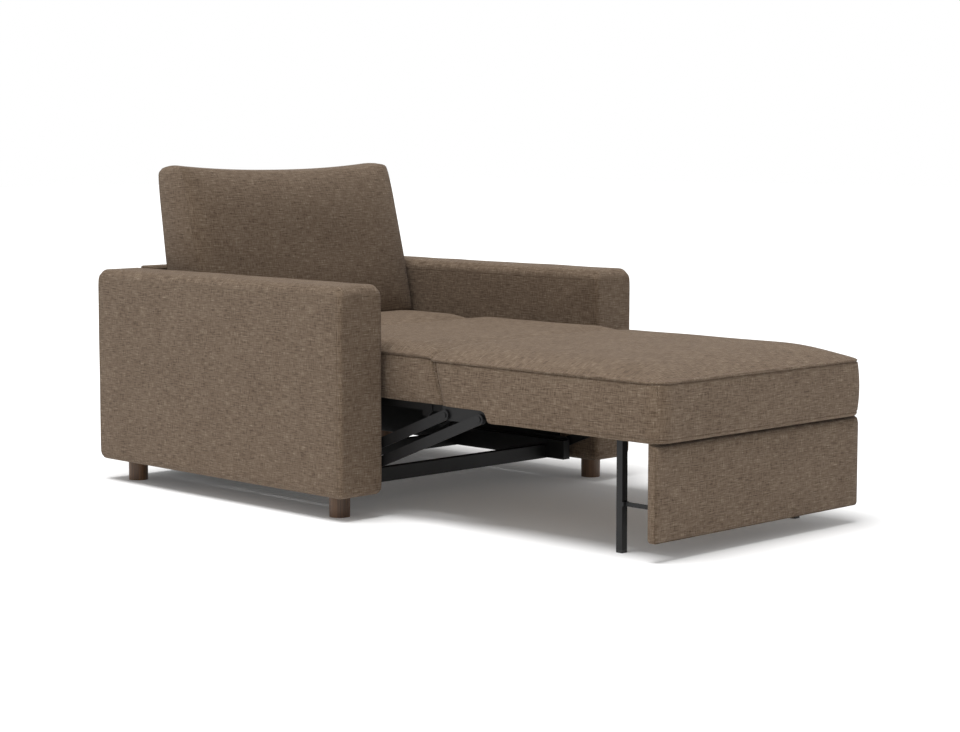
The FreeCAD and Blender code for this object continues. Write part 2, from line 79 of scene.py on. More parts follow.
# Arms: radii of their edges, which grow towards the ends, and their seams and padding
ARM_RADIUS = 0.013
ARM_LOW_RADIUS = 0.018
ARM_TOP_RADIUS = 0.028
ARM_SIDE_SHARE = 0.85
ARM_TURN = 0.05
ARM_HEM_SQUASH = 0.8
ARM_PROUD = 0.008
ARM_TOP_SEAM = 0.12
ARM_FRONT_SEAM = 0.8
ARM_DRAW = 0.0022
ARM_DRAW_REACH = 0.03
ARM_FULLNESS = 0.0012
# Painted shade: an arm's inner face, from this far behind its front and facing inwards by at least
# this share, is made near-black below the seat
ARM_SHADE_START = 0.13
ARM_SHADE_FACING = 0.2

# Low back
BACK_GAP = 0.0006
BACK_RADIUS = 0.012
BACK_EDGE = 0.004
BACK_DRAW = 0.001
# Painted shade: below the seat, faces of the back that look rearwards less than this are made
# near-black
BACK_SHADE_FACING = 0.3

# Lying surface: heights of its seams, and the slanted fold behind the foot cushion
SEAM_Z = 0.406
INNER_SEAM_Z = 0.412
FOLD_Y = -0.169
FOLD_Z = 0.405
FOLD_LEAN = 0.3674
FOLD_GAP = 0.0030

# Foot cushion
FOOT_CORNER = 0.048
FOOT_DECK = 0.0005
FOOT_SIDE_GRID = 0.008
FOOT_BOW = 0.0045
FOOT_LIP = 0.006
FOOT_CROWN_SIDE = 0.13
FOOT_CROWN_FRONT = 0.20
FOOT_CROWN_LOW = 0.82
FOOT_CROWN_POWER = 0.8
FOOT_DIP_REACH = 0.07
FOOT_DIP_KEEP = 0.60
FOOT_LEAN_REACH = 0.12

# Hem of the foot cushion, which ends in a thin flap beside the links
RIM = 0.009
HEM_STITCH = 0.010
HEM_SEAM = 0.8
HEM_TUCK = 0.0030
HEM_TUCK_WIDTH = 0.003
HEM_REAR_Y = -0.358
HEM_RISE = 0.020
FLAP_Y = -0.432
FLAP_TURN = 0.03
FLAP_RIM = 0.0012
FLAP_CALM = 0.8

# Rear edge of the foot cushion, with its seam and its rounding at the fold
REAR_SEAM = 0.012
REAR_SEAM_DEPTH = 0.007
REAR_SEAM_WIDTH = 0.0024
REAR_ROUND = 0.012
REAR_ROUND_WIDTH = 0.0025
REAR_DRAW = 0.006
REAR_DRAW_REACH = 0.08

# Middle and rear cushion
CREASE_Y = 0.42
MIDDLE_CREASE_GAP = 0.0015
REAR_CREASE_GAP = 0.0005
MIDDLE_LOW = 0.300
MIDDLE_CROWN = 0.446
MIDDLE_DIPS = (0.55, 0.40)
REAR_LOW = 0.322
REAR_CROWN = 0.447
REAR_DIPS = (0.40, 0.8)
INNER_EDGE = 0.03
INNER_SIDE_GRID = 0.010
INNER_BOW = 0.005
INNER_LIP = 0.005
INNER_CROWN_SIDE = 0.075
INNER_DIP_REACH = 0.10
INNER_ROUND = 0.010
INNER_ROUND_WIDTH = 0.005
END_DROP_FRONT = 0.006
END_DROP_REAR = 0.008
END_DROP_WIDTH = 0.006
FOLD_PUFF = 0.0030
FOLD_PUFF_START = 1.8
FOLD_PUFF_REACH = 0.11
INNER_LEAN_REACH = 0.10
CREASE_LEAN_REACH = 0.20
REAR_BEVEL = 0.03

# Loose back cushion: places of its front and rear face above the seat, its leans and ears
PILLOW_HALF = 0.384
PILLOW_BASE = 0.001
PILLOW_FRONT_Y = 0.713
PILLOW_FRONT_LEAN = 0.251
PILLOW_REAR_Y = 0.886
PILLOW_REAR_LEAN = 0.156
PILLOW_SEAM = 0.004
PILLOW_EDGE = 0.03
PILLOW_CROWN_SIDE = 0.16
PILLOW_CROWN_END = 0.15
PILLOW_FRONT_CROWN = 0.020
PILLOW_REAR_CROWN = 0.014
PILLOW_TOP_DRAW = 0.003
PILLOW_DRAW_CHANGE = 0.005
PILLOW_SIDE_PUFF = 0.008
PILLOW_TOP_PUFF = 0.006
THIN_TOP = 0.008
THIN_TOP_REACH = 0.10
THIN_BASE = 0.004
THIN_BASE_REACH = 0.06
THIN_SIDE = 0.005
THIN_SIDE_REACH = 0.035
EAR_HEIGHT = 0.018
EAR_POWER = 2.2
EAR_RADIUS = 0.010
EAR_REAR_GROWTH = 0.022

# Front panel, whose upper edge is tucked in behind the cushion's hem
PANEL_RADIUS = 0.009
PANEL_SIDE_GRID = 0.006
PANEL_RISE = 0.012
PANEL_CREASE = 0.004
PANEL_TUCK = 0.016
PANEL_TUCK_HEIGHT = 0.010
PANEL_TUCK_START = 1.3
PANEL_TUCK_REACH = 0.024
PANEL_PAD = 0.003
PANEL_PAD_REACH = 0.04

# Unevenness of each cover: the size and height of its waves, and where they start
ARM_SIDE_WAVES = (0.16, 0.0012, 3.0)
ARM_TOP_WAVES = (0.12, 0.0012, 5.0)
BACK_WAVES = (0.2, 0.001, 11.0)
FOOT_WAVES = (0.17, 0.0015, 2.0)
MIDDLE_WAVES = (0.15, 0.0015, 4.0)
REAR_WAVES = (0.15, 0.0015, 6.0)
PILLOW_WAVES = (0.15, 0.0018, 7.0)
PANEL_WAVES = (0.2, 0.0012, 21.0)

# Patterns of the finishes, as cells per metre along each axis. Wood has them across
# and along its grain.
WARP = (30, 400, 1)
WEFT = (400, 48, 1)
CLOUDS = (9, 11, 1)
SLUBS = (60, 560, 1)
THREADS = 150.0
FIBRES = (700, 700, 1)
STEEL_GRAIN = (900, 900, 900)
STEEL_WEAR = (14, 14, 14)
ZINC_CLOUDS = (160, 160, 160)
PLASTIC_GRAIN = (600, 600, 600)
WOOD_PORES = (220.0, 9.0)
WOOD_BANDS = (26.0, 1.6)

# Colours of the finishes, each with its place in the range of the pattern
LINEN_TONES = ((0.38, (0.060, 0.039, 0.025)), (0.46, (0.125, 0.086, 0.057)),
               (0.53, (0.178, 0.128, 0.088)), (0.60, (0.25, 0.192, 0.137)),
               (0.68, (0.44, 0.365, 0.280)))
# Near-black cloth put under the seat as painted shade
SHADE_CLOTH_TONES = ((0.3, (0.006, 0.006, 0.006)), (0.7, (0.014, 0.014, 0.014)))
STEEL_TONES = ((0.35, (0.007, 0.007, 0.0074)), (0.7, (0.012, 0.012, 0.0125)))
ZINC_TONES = ((0.3, (0.05, 0.05, 0.052)), (0.75, (0.11, 0.11, 0.112)))
PLASTIC_TONES = ((0.3, (0.012, 0.012, 0.012)), (0.8, (0.022, 0.022, 0.022)))
WALNUT_TONES = ((0.36, (0.050, 0.024, 0.010)), (0.64, (0.155, 0.078, 0.035)))
TIMBER_TONES = ((0.36, (0.36, 0.23, 0.12)), (0.64, (0.55, 0.38, 0.22)))
PLYWOOD_TONES = ((0.36, (0.42, 0.29, 0.16)), (0.64, (0.62, 0.46, 0.29)))

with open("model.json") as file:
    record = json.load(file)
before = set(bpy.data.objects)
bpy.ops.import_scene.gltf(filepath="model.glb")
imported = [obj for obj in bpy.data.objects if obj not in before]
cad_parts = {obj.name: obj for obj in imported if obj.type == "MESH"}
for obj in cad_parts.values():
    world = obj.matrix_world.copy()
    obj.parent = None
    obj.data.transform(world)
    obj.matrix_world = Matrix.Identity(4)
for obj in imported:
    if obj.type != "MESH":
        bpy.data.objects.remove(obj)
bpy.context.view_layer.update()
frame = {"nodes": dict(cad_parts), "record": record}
arm_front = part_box("right_arm_cover")[0][1]


# Mesh helpers

def spread(low, high, radius=0.0, seams=(), step=GRID):
    """Grid lines from low to high, close together at round edges and beside seams."""
    marks = {low, high}
    if radius:
        for share in EDGE_SHARES:
            marks.add(low + radius * (1 - share))
            marks.add(high - radius * (1 - share))
    for seam in seams:
        for offset in SEAM_OFFSETS:
            marks.add(seam + offset * SEAM_WIDTH)
    start, end = low + radius, high - radius
    count = max(1, math.ceil((end - start) / step))
    for index in range(count + 1):
        place = start + (end - start) * index / count
        if all(abs(place - seam) > SEAM_CLEARANCE * SEAM_WIDTH for seam in seams):
            marks.add(place)
    lines = []
    for mark in sorted(m for m in marks if low - ROUNDING <= m <= high + ROUNDING):
        if not lines or mark - lines[-1] > SAME_LINE:
            lines.append(mark)
    return lines


def grid_block(xs, ys, zs):
    """Points and quads of the skin of a block, with the given grid lines."""
    points = []
    index = {}
    faces = []

    def point(i, j, k):
        key = (i, j, k)
        if key not in index:
            index[key] = len(points)
            points.append(Vector((xs[i], ys[j], zs[k])))
        return index[key]

    ends = (len(xs) - 1, len(ys) - 1, len(zs) - 1)
    for axis in range(3):
        a, b = (axis + 1) % 3, (axis + 2) % 3
        for side in (0, ends[axis]):
            for u in range(ends[a]):
                for v in range(ends[b]):
                    loop = []
                    for du, dv in ((0, 0), (1, 0), (1, 1), (0, 1)):
                        key = [0, 0, 0]
                        key[axis] = side
                        key[a] = u + du
                        key[b] = v + dv
                        loop.append(point(*key))
                    faces.append(loop if side else loop[::-1])
    return points, faces


def lay_weave(mesh):
    """UVs in metres from the side that each face looks to, so threads run along the cloth."""
    layer = mesh.uv_layers.new(name="weave")
    for face in mesh.polygons:
        normal = face.normal
        axis = max(range(3), key=lambda k: abs(normal[k]))
        a, b = ((1, 2), (0, 2), (0, 1))[axis]
        shift = WEAVE_SHIFT * axis
        for loop in face.loop_indices:
            place = mesh.vertices[mesh.loops[loop].vertex_index].co
            layer.data[loop].uv = (place[a] + shift, place[b] + shift)


def make_cover(name, points, faces, body, nodes, shaded=None):
    """A smooth cover on a body; the faces that the given test picks are painted near-black, as
    painted shade.
    """
    mesh = bpy.data.meshes.new(name)
    mesh.from_pydata([tuple(p) for p in points], [], faces)
    for face in mesh.polygons:
        face.use_smooth = True
    mesh.update()
    lay_weave(mesh)
    piece = bpy.data.objects.new(name, mesh)
    bpy.context.scene.collection.objects.link(piece)
    mesh.materials.append(fabric)
    # Painted shade: the picked faces take the near-black cloth
    if shaded:
        mesh.materials.append(shade_cloth)
        for face in mesh.polygons:
            face.material_index = 1 if shaded(face.center, face.normal) else 0
    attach(piece, body)
    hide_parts(*nodes)
    return piece


def corners(node):
    """The lowest and the highest corner of a node, as vectors."""
    return [Vector(corner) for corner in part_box(node)]


def clamp(value, low, high):
    return max(low, min(high, value))


def rounded(point, low, high, radii):
    """Moves a point of a block's skin to the block with round edges, of a radius per axis."""
    core = Vector([clamp(point[k], low[k] + radii[k], high[k] - radii[k]) for k in range(3)])
    offset = Vector([(point[k] - core[k]) / radii[k] for k in range(3)])
    if offset.length < ROUNDING:
        return point.copy()
    offset.normalize()
    return core + Vector([offset[k] * radii[k] for k in range(3)])


def round_corner(a, b):
    """Draws a point, given from the centre of a square corner, in to the corner's circle."""
    share = max(a, b) / math.hypot(a, b)
    return a * share, b * share


def ripple(point, waves, side=1):
    """Slow unevenness of stuffed cloth, which differs from one side's piece to the other's."""
    size, height, start = waves
    place = Vector((point.x / size + side * start, point.y / size, point.z / size))
    return height * noise.noise(place)


def bell(distance, width):
    """1 on a line, and less on both sides of it."""
    return math.exp(-(distance / width) ** 2)


def fade(distance, width):
    """1 at an edge, and less inwards."""
    return math.exp(-distance / width)


def groove(distance):
    """Depth of a plain seam at a distance from its thread."""
    return SEAM_DEPTH * bell(distance, SEAM_SHARPNESS * SEAM_WIDTH)


def edge_rise(distance, width, power=CROWN_POWER):
    """0 at an edge, 1 from the given distance inwards."""
    return 1 - (1 - clamp(distance / width, 0, 1)) ** power


def end_dip(distance, width, keep):
    """How much of the crown is left at an end that meets another cushion."""
    return keep + (1 - keep) * edge_rise(distance, width, DIP_POWER)


def bowed(share, depth):
    """0 half way up a cushion's side, drawn in by the depth at its upper and lower edge."""
    return depth * (4 * share * (1 - share)) - depth


def seam_swell(on_top, inwards, below, roll):
    """How far a cushion stands out at its upper seam: a rolled edge, and a tuck at the thread."""
    if on_top:
        return roll * bell(inwards - ROLL_PLACE, ROLL_WIDTH) - TUCK * bell(inwards, TUCK_TOP_WIDTH)
    return -TUCK * bell(below, TUCK_SIDE_WIDTH)


# Materials

def new_material(name):
    """A material with one plain shader, its node tree and that shader."""
    material = bpy.data.materials.new(name)
    material.use_nodes = True
    tree = material.node_tree
    tree.nodes.clear()
    output = tree.nodes.new("ShaderNodeOutputMaterial")
    shader = tree.nodes.new("ShaderNodeBsdfPrincipled")
    tree.links.new(shader.outputs[0], output.inputs[0])
    return material, tree, shader


def place_in_object(tree):
    """Coordinates of a finish that goes through a solid."""
    return tree.nodes.new("ShaderNodeTexCoord").outputs["Object"]


def place_on_cloth(tree):
    """Coordinates of a finish that lies on a cover."""
    node = tree.nodes.new("ShaderNodeUVMap")
    node.uv_map = "weave"
    return node.outputs[0]


def noise_value(tree, source, cells, detail=2.0, rough=0.5):
    """Noise from 0 to 1 with the given cells per metre along each axis."""
    mapping = tree.nodes.new("ShaderNodeMapping")
    mapping.inputs["Scale"].default_value = cells
    tree.links.new(source, mapping.inputs["Vector"])
    texture = tree.nodes.new("ShaderNodeTexNoise")
    texture.inputs["Scale"].default_value = 1.0
    texture.inputs["Detail"].default_value = detail
    texture.inputs["Roughness"].default_value = rough
    tree.links.new(mapping.outputs[0], texture.inputs["Vector"])
    return texture.outputs["Fac"]


def math_node(tree, operation, a, b):
    """A math node whose inputs are numbers or other nodes' outputs."""
    node = tree.nodes.new("ShaderNodeMath")
    node.operation = operation
    for socket, value in zip(node.inputs, (a, b)):
        if isinstance(value, (int, float)):
            socket.default_value = value
        else:
            tree.links.new(value, socket)
    return node.outputs[0]


def weighted_sum(tree, *parts):
    """The sum of values, each times its weight."""
    total = None
    for value, weight in parts:
        term = math_node(tree, "MULTIPLY", value, weight)
        total = term if total is None else math_node(tree, "ADD", total, term)
    return total


def set_colour(tree, shader, source, tones):
    """Colours the shader by the tones that a value from 0 to 1 picks."""
    node = tree.nodes.new("ShaderNodeValToRGB")
    elements = node.color_ramp.elements
    while len(elements) < len(tones):
        elements.new(0.5)
    for element, (place, colour) in zip(elements, tones):
        element.position = place
        element.color = (*colour, 1)
    tree.links.new(source, node.inputs["Fac"])
    tree.links.new(node.outputs["Color"], shader.inputs["Base Color"])


def set_roughness(tree, shader, source, share, least):
    """Roughness that starts at its least value and grows with a source value."""
    rough = math_node(tree, "MULTIPLY", source, share)
    tree.links.new(math_node(tree, "ADD", rough, least), shader.inputs["Roughness"])


def add_bump(tree, shader, height, distance, strength):
    bump = tree.nodes.new("ShaderNodeBump")
    bump.inputs["Distance"].default_value = distance
    bump.inputs["Strength"].default_value = strength
    tree.links.new(height, bump.inputs["Height"])
    tree.links.new(bump.outputs[0], shader.inputs["Normal"])


def thread_height(tree, cloth):
    """Round threads that cross, the higher of the two on top."""
    heights = []
    for bands in ("X", "Y"):
        wave = tree.nodes.new("ShaderNodeTexWave")
        wave.bands_direction = bands
        wave.inputs["Scale"].default_value = THREADS
        wave.inputs["Distortion"].default_value = 1.5
        wave.inputs["Detail Scale"].default_value = 0.6
        tree.links.new(cloth, wave.inputs["Vector"])
        heights.append(wave.outputs["Fac"])
    return math_node(tree, "MAXIMUM", *heights)


def fabric_material():
    """Coarse linen weave: crossed slub yarns of several browns, with pale flecks."""
    material, tree, shader = new_material("linen weave")
    cloth = place_on_cloth(tree)
    tone = weighted_sum(tree,
                        (noise_value(tree, cloth, WARP, detail=3.0, rough=0.65), 0.44),
                        (noise_value(tree, cloth, WEFT, detail=3.0, rough=0.65), 0.34),
                        (noise_value(tree, cloth, CLOUDS), 0.06),
                        (noise_value(tree, cloth, SLUBS, rough=0.7), 0.16))
    set_colour(tree, shader, tone, LINEN_TONES)
    height = math_node(tree, "ADD", thread_height(tree, cloth),
                       math_node(tree, "MULTIPLY", tone, 3.0))
    add_bump(tree, shader, height, distance=0.0006, strength=0.9)
    shader.inputs["Roughness"].default_value = 0.92
    shader.inputs["Specular IOR Level"].default_value = 0.18
    shader.inputs["Sheen Weight"].default_value = 0.06
    shader.inputs["Sheen Roughness"].default_value = 0.5
    return material


def shade_cloth_material():
    """Near-black cloth with a fine fibre pattern: painted shade on faces in the shadow under the
    seat.
    """
    material, tree, shader = new_material("black lining")
    fibres = noise_value(tree, place_on_cloth(tree), FIBRES, detail=3.0, rough=0.7)
    set_colour(tree, shader, fibres, SHADE_CLOTH_TONES)
    shader.inputs["Roughness"].default_value = 0.9
    add_bump(tree, shader, fibres, distance=0.0003, strength=0.6)
    return material


def steel_material():
    """Black powder coat with its fine orange peel."""
    material, tree, shader = new_material("black powder coat")
    place = place_in_object(tree)
    grain = noise_value(tree, place, STEEL_GRAIN, detail=1.0)
    worn = noise_value(tree, place, STEEL_WEAR, detail=3.0)
    set_colour(tree, shader, worn, STEEL_TONES)
    set_roughness(tree, shader, worn, share=0.2, least=0.42)
    shader.inputs["Specular IOR Level"].default_value = 0.35
    add_bump(tree, shader, grain, distance=0.0002, strength=0.35)
    return material


def zinc_material():
    """Dull zinc plate with cloudy patches."""
    material, tree, shader = new_material("zinc plate")
    cloudy = noise_value(tree, place_in_object(tree), ZINC_CLOUDS, detail=3.0)
    set_colour(tree, shader, cloudy, ZINC_TONES)
    set_roughness(tree, shader, cloudy, share=0.7, least=0.0)
    shader.inputs["Metallic"].default_value = 0.8
    return material


def grain_cells(cells, along):
    """Cells per metre on each axis, for a grain that runs along one of them."""
    across, lengthwise = cells
    return [lengthwise if axis == along else across for axis in range(3)]


def wood_material(name, tones, along, least_rough):
    """Straight grain along one axis, with pores and slow bands."""
    material, tree, shader = new_material(name)
    place = place_in_object(tree)
    pores = noise_value(tree, place, grain_cells(WOOD_PORES, along), detail=3.0, rough=0.6)
    bands = noise_value(tree, place, grain_cells(WOOD_BANDS, along))
    set_colour(tree, shader, weighted_sum(tree, (pores, 0.5), (bands, 0.5)), tones)
    set_roughness(tree, shader, pores, share=0.25, least=least_rough)
    add_bump(tree, shader, pores, distance=0.0002, strength=0.4)
    return material


def plastic_material():
    """Black moulded plastic with a fine grain."""
    material, tree, shader = new_material("moulded plastic")
    grain = noise_value(tree, place_in_object(tree), PLASTIC_GRAIN)
    set_colour(tree, shader, grain, PLASTIC_TONES)
    shader.inputs["Roughness"].default_value = 0.55
    add_bump(tree, shader, grain, distance=0.0002, strength=0.5)
    return material


fabric = fabric_material()
# Painted shade: near-black cloth for faces in the shadow under the seat
shade_cloth = shade_cloth_material()
materials = {
    "fabric": fabric,
    "black_steel": steel_material(),
    "zinc_steel": zinc_material(),
    "walnut": wood_material("walnut", WALNUT_TONES, along=2, least_rough=0.36),
    "timber": wood_material("timber", TIMBER_TONES, along=1, least_rough=0.55),
    "plywood": wood_material("plywood", PLYWOOD_TONES, along=0, least_rough=0.5),
    "plastic": plastic_material(),
}


def dress_frame():
    """Gives every solid of the frame the finish of its material slot."""
    for entry in frame["record"]["subparts"]:
        node = frame["nodes"][entry["node"]]
        node.data.materials.clear()
        node.data.materials.append(materials[entry["material_slot"]])


# Arms and back

def arm_radius(z, low, high):
    """Radius of an arm's upright edges, which grows towards its rounded ends."""
    up = clamp(1 - (high - z) / ARM_TURN, 0, 1)
    down = clamp(1 - (z - low) / ARM_TURN, 0, 1)
    return (ARM_RADIUS + (ARM_TOP_RADIUS - ARM_RADIUS) * up * up
            + (ARM_LOW_RADIUS - ARM_RADIUS) * down * down)


def make_arm(side):
    """A padded arm whose top and front are one band of cloth, seamed to the side panels."""
    node = ("left" if side < 0 else "right") + "_arm_cover"
    low, high = corners(node)
    low.y -= ARM_PROUD
    high.y += ARM_PROUD
    seam_z = high.z - ARM_TOP_RADIUS
    seam_front = low.y + ARM_RADIUS
    seam_back = high.y - ARM_RADIUS
    xs = spread(low.x, high.x, ARM_TOP_RADIUS)
    ys = spread(low.y, high.y, ARM_TOP_RADIUS, (seam_front, seam_back))
    zs = spread(low.z, high.z, ARM_TOP_RADIUS, (seam_z,))
    points, faces = grid_block(xs, ys, zs)
    shaped = []
    for point in points:
        turn = arm_radius(point.z, low.z, high.z)
        place = rounded(point, low, high, (ARM_SIDE_SHARE * turn, turn, ARM_TOP_RADIUS))
        if min(abs(point.x - low.x), abs(point.x - high.x)) < TOLERANCE:
            outward = 1 if point.x > (low.x + high.x) / 2 else -1
            to_top = seam_z - point.z
            to_front = min(point.y - seam_front, seam_back - point.y)
            depth = 0.0
            if to_front > -SEAM_WIDTH:
                depth = ARM_TOP_SEAM * groove(to_top)
            if to_top > -SEAM_WIDTH:
                depth = max(depth, ARM_FRONT_SEAM * groove(to_front))
            inner = max(0, min(to_top, to_front))
            drawn = depth + ARM_DRAW * fade(inner, ARM_DRAW_REACH) - ARM_FULLNESS
            place.x += outward * (ripple(point, ARM_SIDE_WAVES, side) - drawn)
        elif point.z > high.z - TOLERANCE:
            place.z += ripple(point, ARM_TOP_WAVES, side) + ARM_FULLNESS
        if point.z < low.z + ARM_TOP_RADIUS:
            place.z = low.z + (place.z - low.z) * ARM_HEM_SQUASH
        shaped.append(place)

    # Painted shade: the arm's inner faces below the seat, where its shadow falls, are made
    # near-black
    def in_shade(centre, normal):
        inside = normal.x * side < -ARM_SHADE_FACING
        return inside and centre.y > low.y + ARM_SHADE_START and centre.z < SHADE_TOP

    make_cover(node + "_sewn", shaped, faces, "base", (node,), in_shade)


def make_back():
    """The low padded back between the arms."""
    low, high = corners("back_cover")
    low.x += BACK_GAP
    high.x -= BACK_GAP
    seam_z = high.z - BACK_RADIUS
    xs = spread(low.x, high.x, BACK_EDGE)
    ys = spread(low.y, high.y, BACK_RADIUS)
    zs = spread(low.z, high.z, BACK_RADIUS, (seam_z,))
    points, faces = grid_block(xs, ys, zs)
    shaped = []
    for point in points:
        place = rounded(point, low, high, (BACK_EDGE, BACK_EDGE, BACK_EDGE))
        lift = clamp((place.z - seam_z) / BACK_RADIUS, 0, 1)
        inset = BACK_RADIUS * (1 - math.sqrt(max(0.0, 1 - lift * lift)))
        place.y = clamp(place.y, low.y + inset, high.y - inset)
        if min(abs(point.y - low.y), abs(point.y - high.y)) < TOLERANCE:
            inward = 1 if point.y < (low.y + high.y) / 2 else -1
            drawn = groove(point.z - seam_z) + BACK_DRAW
            place.y += inward * (drawn + ripple(point, BACK_WAVES))
        shaped.append(place)

    # Painted shade: the back's faces below the seat, where its shadow falls, are made near-black
    def in_shade(centre, normal):
        return centre.z < SHADE_TOP and normal.y < BACK_SHADE_FACING

    make_cover("back_cover_sewn", shaped, faces, "base", ("back_cover",), in_shade)


# Cushions of the lying surface

def fold_plane(z):
    """Where the slanted fold behind the foot cushion lies at a height."""
    return arm_front + FOLD_Y - (FOLD_Z - z) * FOLD_LEAN


def corner_plan(x, y, half, front, radius):
    """Draws the two front corners of a plan in to a radius."""
    dx = abs(x) - (half - radius)
    dy = (front + radius) - y
    if dx <= 0 or dy <= 0:
        return x, y
    dx, dy = round_corner(dx, dy)
    return math.copysign(half - radius + dx, x), front + radius - dy


def hem_level(y, low, deck):
    """The lower edge of the foot cushion's side, which rises towards the links."""
    rise = clamp((y - (arm_front + HEM_REAR_Y - HEM_RISE)) / HEM_RISE, 0, 1)
    return low + (deck - low) * rise * rise * (3 - 2 * rise)


def make_foot_cushion():
    """The boxed cushion of the foot section, round in front, with a hem round its frame."""
    low, high = corners("foot_cushion")
    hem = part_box("foot_border")[0][2]
    deck = low.z + FOOT_DECK
    half = high.x
    front = low.y
    rear = fold_plane(SEAM_Z) - FOLD_GAP
    xs = spread(-half, half, FOOT_CORNER, (-half, -half + RIM, half - RIM, half))
    ys = spread(front, rear, FOOT_CORNER, (front, front + RIM, rear - REAR_SEAM, rear))
    zs = spread(hem, SEAM_Z, 0.0, (hem, hem + HEM_STITCH, SEAM_Z), FOOT_SIDE_GRID)
    points, faces = grid_block(xs, ys, zs)
    shaped = []
    for point in points:
        x, y = corner_plan(point.x, point.y, half, front, FOOT_CORNER)
        dx = half - abs(point.x)
        dy = point.y - front
        edge = min(dx, dy)
        to_rear = rear - point.y
        share = (point.z - hem) / (SEAM_Z - hem)
        on_top = share > 1 - TOLERANCE
        edge_z = hem_level(point.y, hem, deck)
        place = Vector((x, y, edge_z + share * (SEAM_Z - edge_z)))
        flap = clamp((point.y - arm_front - FLAP_Y) / FLAP_TURN, 0, 1)
        rim = RIM if flap < 1 else FLAP_RIM
        if share < TOLERANCE and edge > rim - TOLERANCE:
            place.z = deck
        corner = clamp(1 - max(dx, dy) / FOOT_CORNER, 0, 1)
        swell = bowed(share, FOOT_BOW)
        swell += seam_swell(on_top, edge, SEAM_Z - point.z, ROLL * (1 - corner))
        if not on_top:
            swell -= HEM_SEAM * groove(point.z - hem - HEM_STITCH)
            swell -= HEM_TUCK * fade(point.z - hem, HEM_TUCK_WIDTH)
            swell *= 1 - FLAP_CALM * flap * (1 - share) ** 2
            swell -= REAR_SEAM_DEPTH * bell(to_rear - REAR_SEAM, REAR_SEAM_WIDTH)
            swell -= REAR_ROUND * fade(to_rear, REAR_ROUND_WIDTH)
        swell -= REAR_DRAW * clamp(1 - to_rear / REAR_DRAW_REACH, 0, 1) ** 2
        place.x += math.copysign(clamp(1 - dx / FOOT_CORNER, 0, 1), x) * swell
        place.y -= clamp(1 - dy / FOOT_CORNER, 0, 1) * swell
        if on_top:
            rise = edge_rise(dx, FOOT_CROWN_SIDE) * edge_rise(dy, FOOT_CROWN_FRONT)
            rise *= end_dip(to_rear, FOOT_DIP_REACH, FOOT_DIP_KEEP)
            rise *= FOOT_CROWN_LOW + (1 - FOOT_CROWN_LOW) * (dx / half) ** FOOT_CROWN_POWER
            place.z += FOOT_LIP * (1 - fade(edge, LIP_WIDTH))
            place.z += rise * (high.z - SEAM_Z - FOOT_LIP)
            place.z += ripple(point, FOOT_WAVES) * min(1, edge / CALM_EDGE)
        lean = fold_plane(place.z) - fold_plane(SEAM_Z)
        place.y += lean * clamp(1 - to_rear / FOOT_LEAN_REACH, 0, 1)
        shaped.append(place)
    piece = make_cover("foot_cushion_sewn", shaped, faces, "foot_section",
                       ("foot_cushion", "foot_border"))


def make_inner_cushion(node, body, ends, heights, dips, waves, slanted):
    """A cushion between the arms, puffed at its sides and creased at its ends."""
    front, rear = ends
    base, crown = heights
    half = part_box(node)[1][0]
    xs = spread(-half, half, INNER_EDGE, (-half, half))
    ys = spread(front, rear, INNER_EDGE, (front, rear))
    zs = spread(base, INNER_SEAM_Z, 0.0, (INNER_SEAM_Z,), INNER_SIDE_GRID)
    points, faces = grid_block(xs, ys, zs)
    shaped = []
    for point in points:
        dx = half - abs(point.x)
        to_front = point.y - front
        to_rear = rear - point.y
        drop = INNER_SEAM_Z - point.z
        on_top = drop < TOLERANCE
        share = (point.z - base) / (INNER_SEAM_Z - base)
        swell = bowed(share, INNER_BOW) + seam_swell(on_top, dx, drop, ROLL)
        if not on_top:
            swell -= INNER_ROUND * fade(to_front, INNER_ROUND_WIDTH)
        if slanted:
            swell += FOLD_PUFF * clamp(FOLD_PUFF_START - to_front / FOLD_PUFF_REACH, 0, 1)
        place = point.copy()
        place.x += math.copysign(clamp(1 - dx / INNER_EDGE, 0, 1), point.x) * swell
        if on_top:
            rise = edge_rise(dx, INNER_CROWN_SIDE)
            rise *= end_dip(to_front, INNER_DIP_REACH, dips[0])
            rise *= end_dip(to_rear, INNER_DIP_REACH, dips[1])
            place.z += INNER_LIP * (1 - fade(dx, LIP_WIDTH))
            place.z -= END_DROP_REAR * fade(to_rear, END_DROP_WIDTH)
            place.z -= END_DROP_FRONT * fade(to_front, END_DROP_WIDTH)
            place.z += rise * (crown - INNER_SEAM_Z - INNER_LIP)
            place.z += ripple(point, waves) * min(1, dx / CALM_EDGE)
        near_front = clamp(1 - to_front / INNER_LEAN_REACH, 0, 1)
        if slanted:
            place.y += (fold_plane(point.z) - fold_plane(INNER_SEAM_Z)) * near_front
            place.y -= drop * clamp(1 - to_rear / CREASE_LEAN_REACH, 0, 1)
        else:
            place.y += clamp(drop, 0, REAR_BEVEL) * near_front
        shaped.append(place)
    piece = make_cover(node + "_sewn", shaped, faces, body, (node,))


def make_middle_cushion():
    """From the slanted fold to the crease, where its rear face leans forward."""
    ends = (fold_plane(INNER_SEAM_Z), arm_front + CREASE_Y - MIDDLE_CREASE_GAP)
    make_inner_cushion("middle_cushion", "middle_section", ends, (MIDDLE_LOW, MIDDLE_CROWN),
                       MIDDLE_DIPS, MIDDLE_WAVES, slanted=True)


def make_rear_cushion():
    """From the crease to the back, on the part that folds down."""
    ends = (arm_front + CREASE_Y + REAR_CREASE_GAP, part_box("rear_cushion")[1][1])
    make_inner_cushion("rear_cushion", "rear_section", ends, (REAR_LOW, REAR_CROWN),
                       REAR_DIPS, REAR_WAVES, slanted=False)


# Loose back cushion

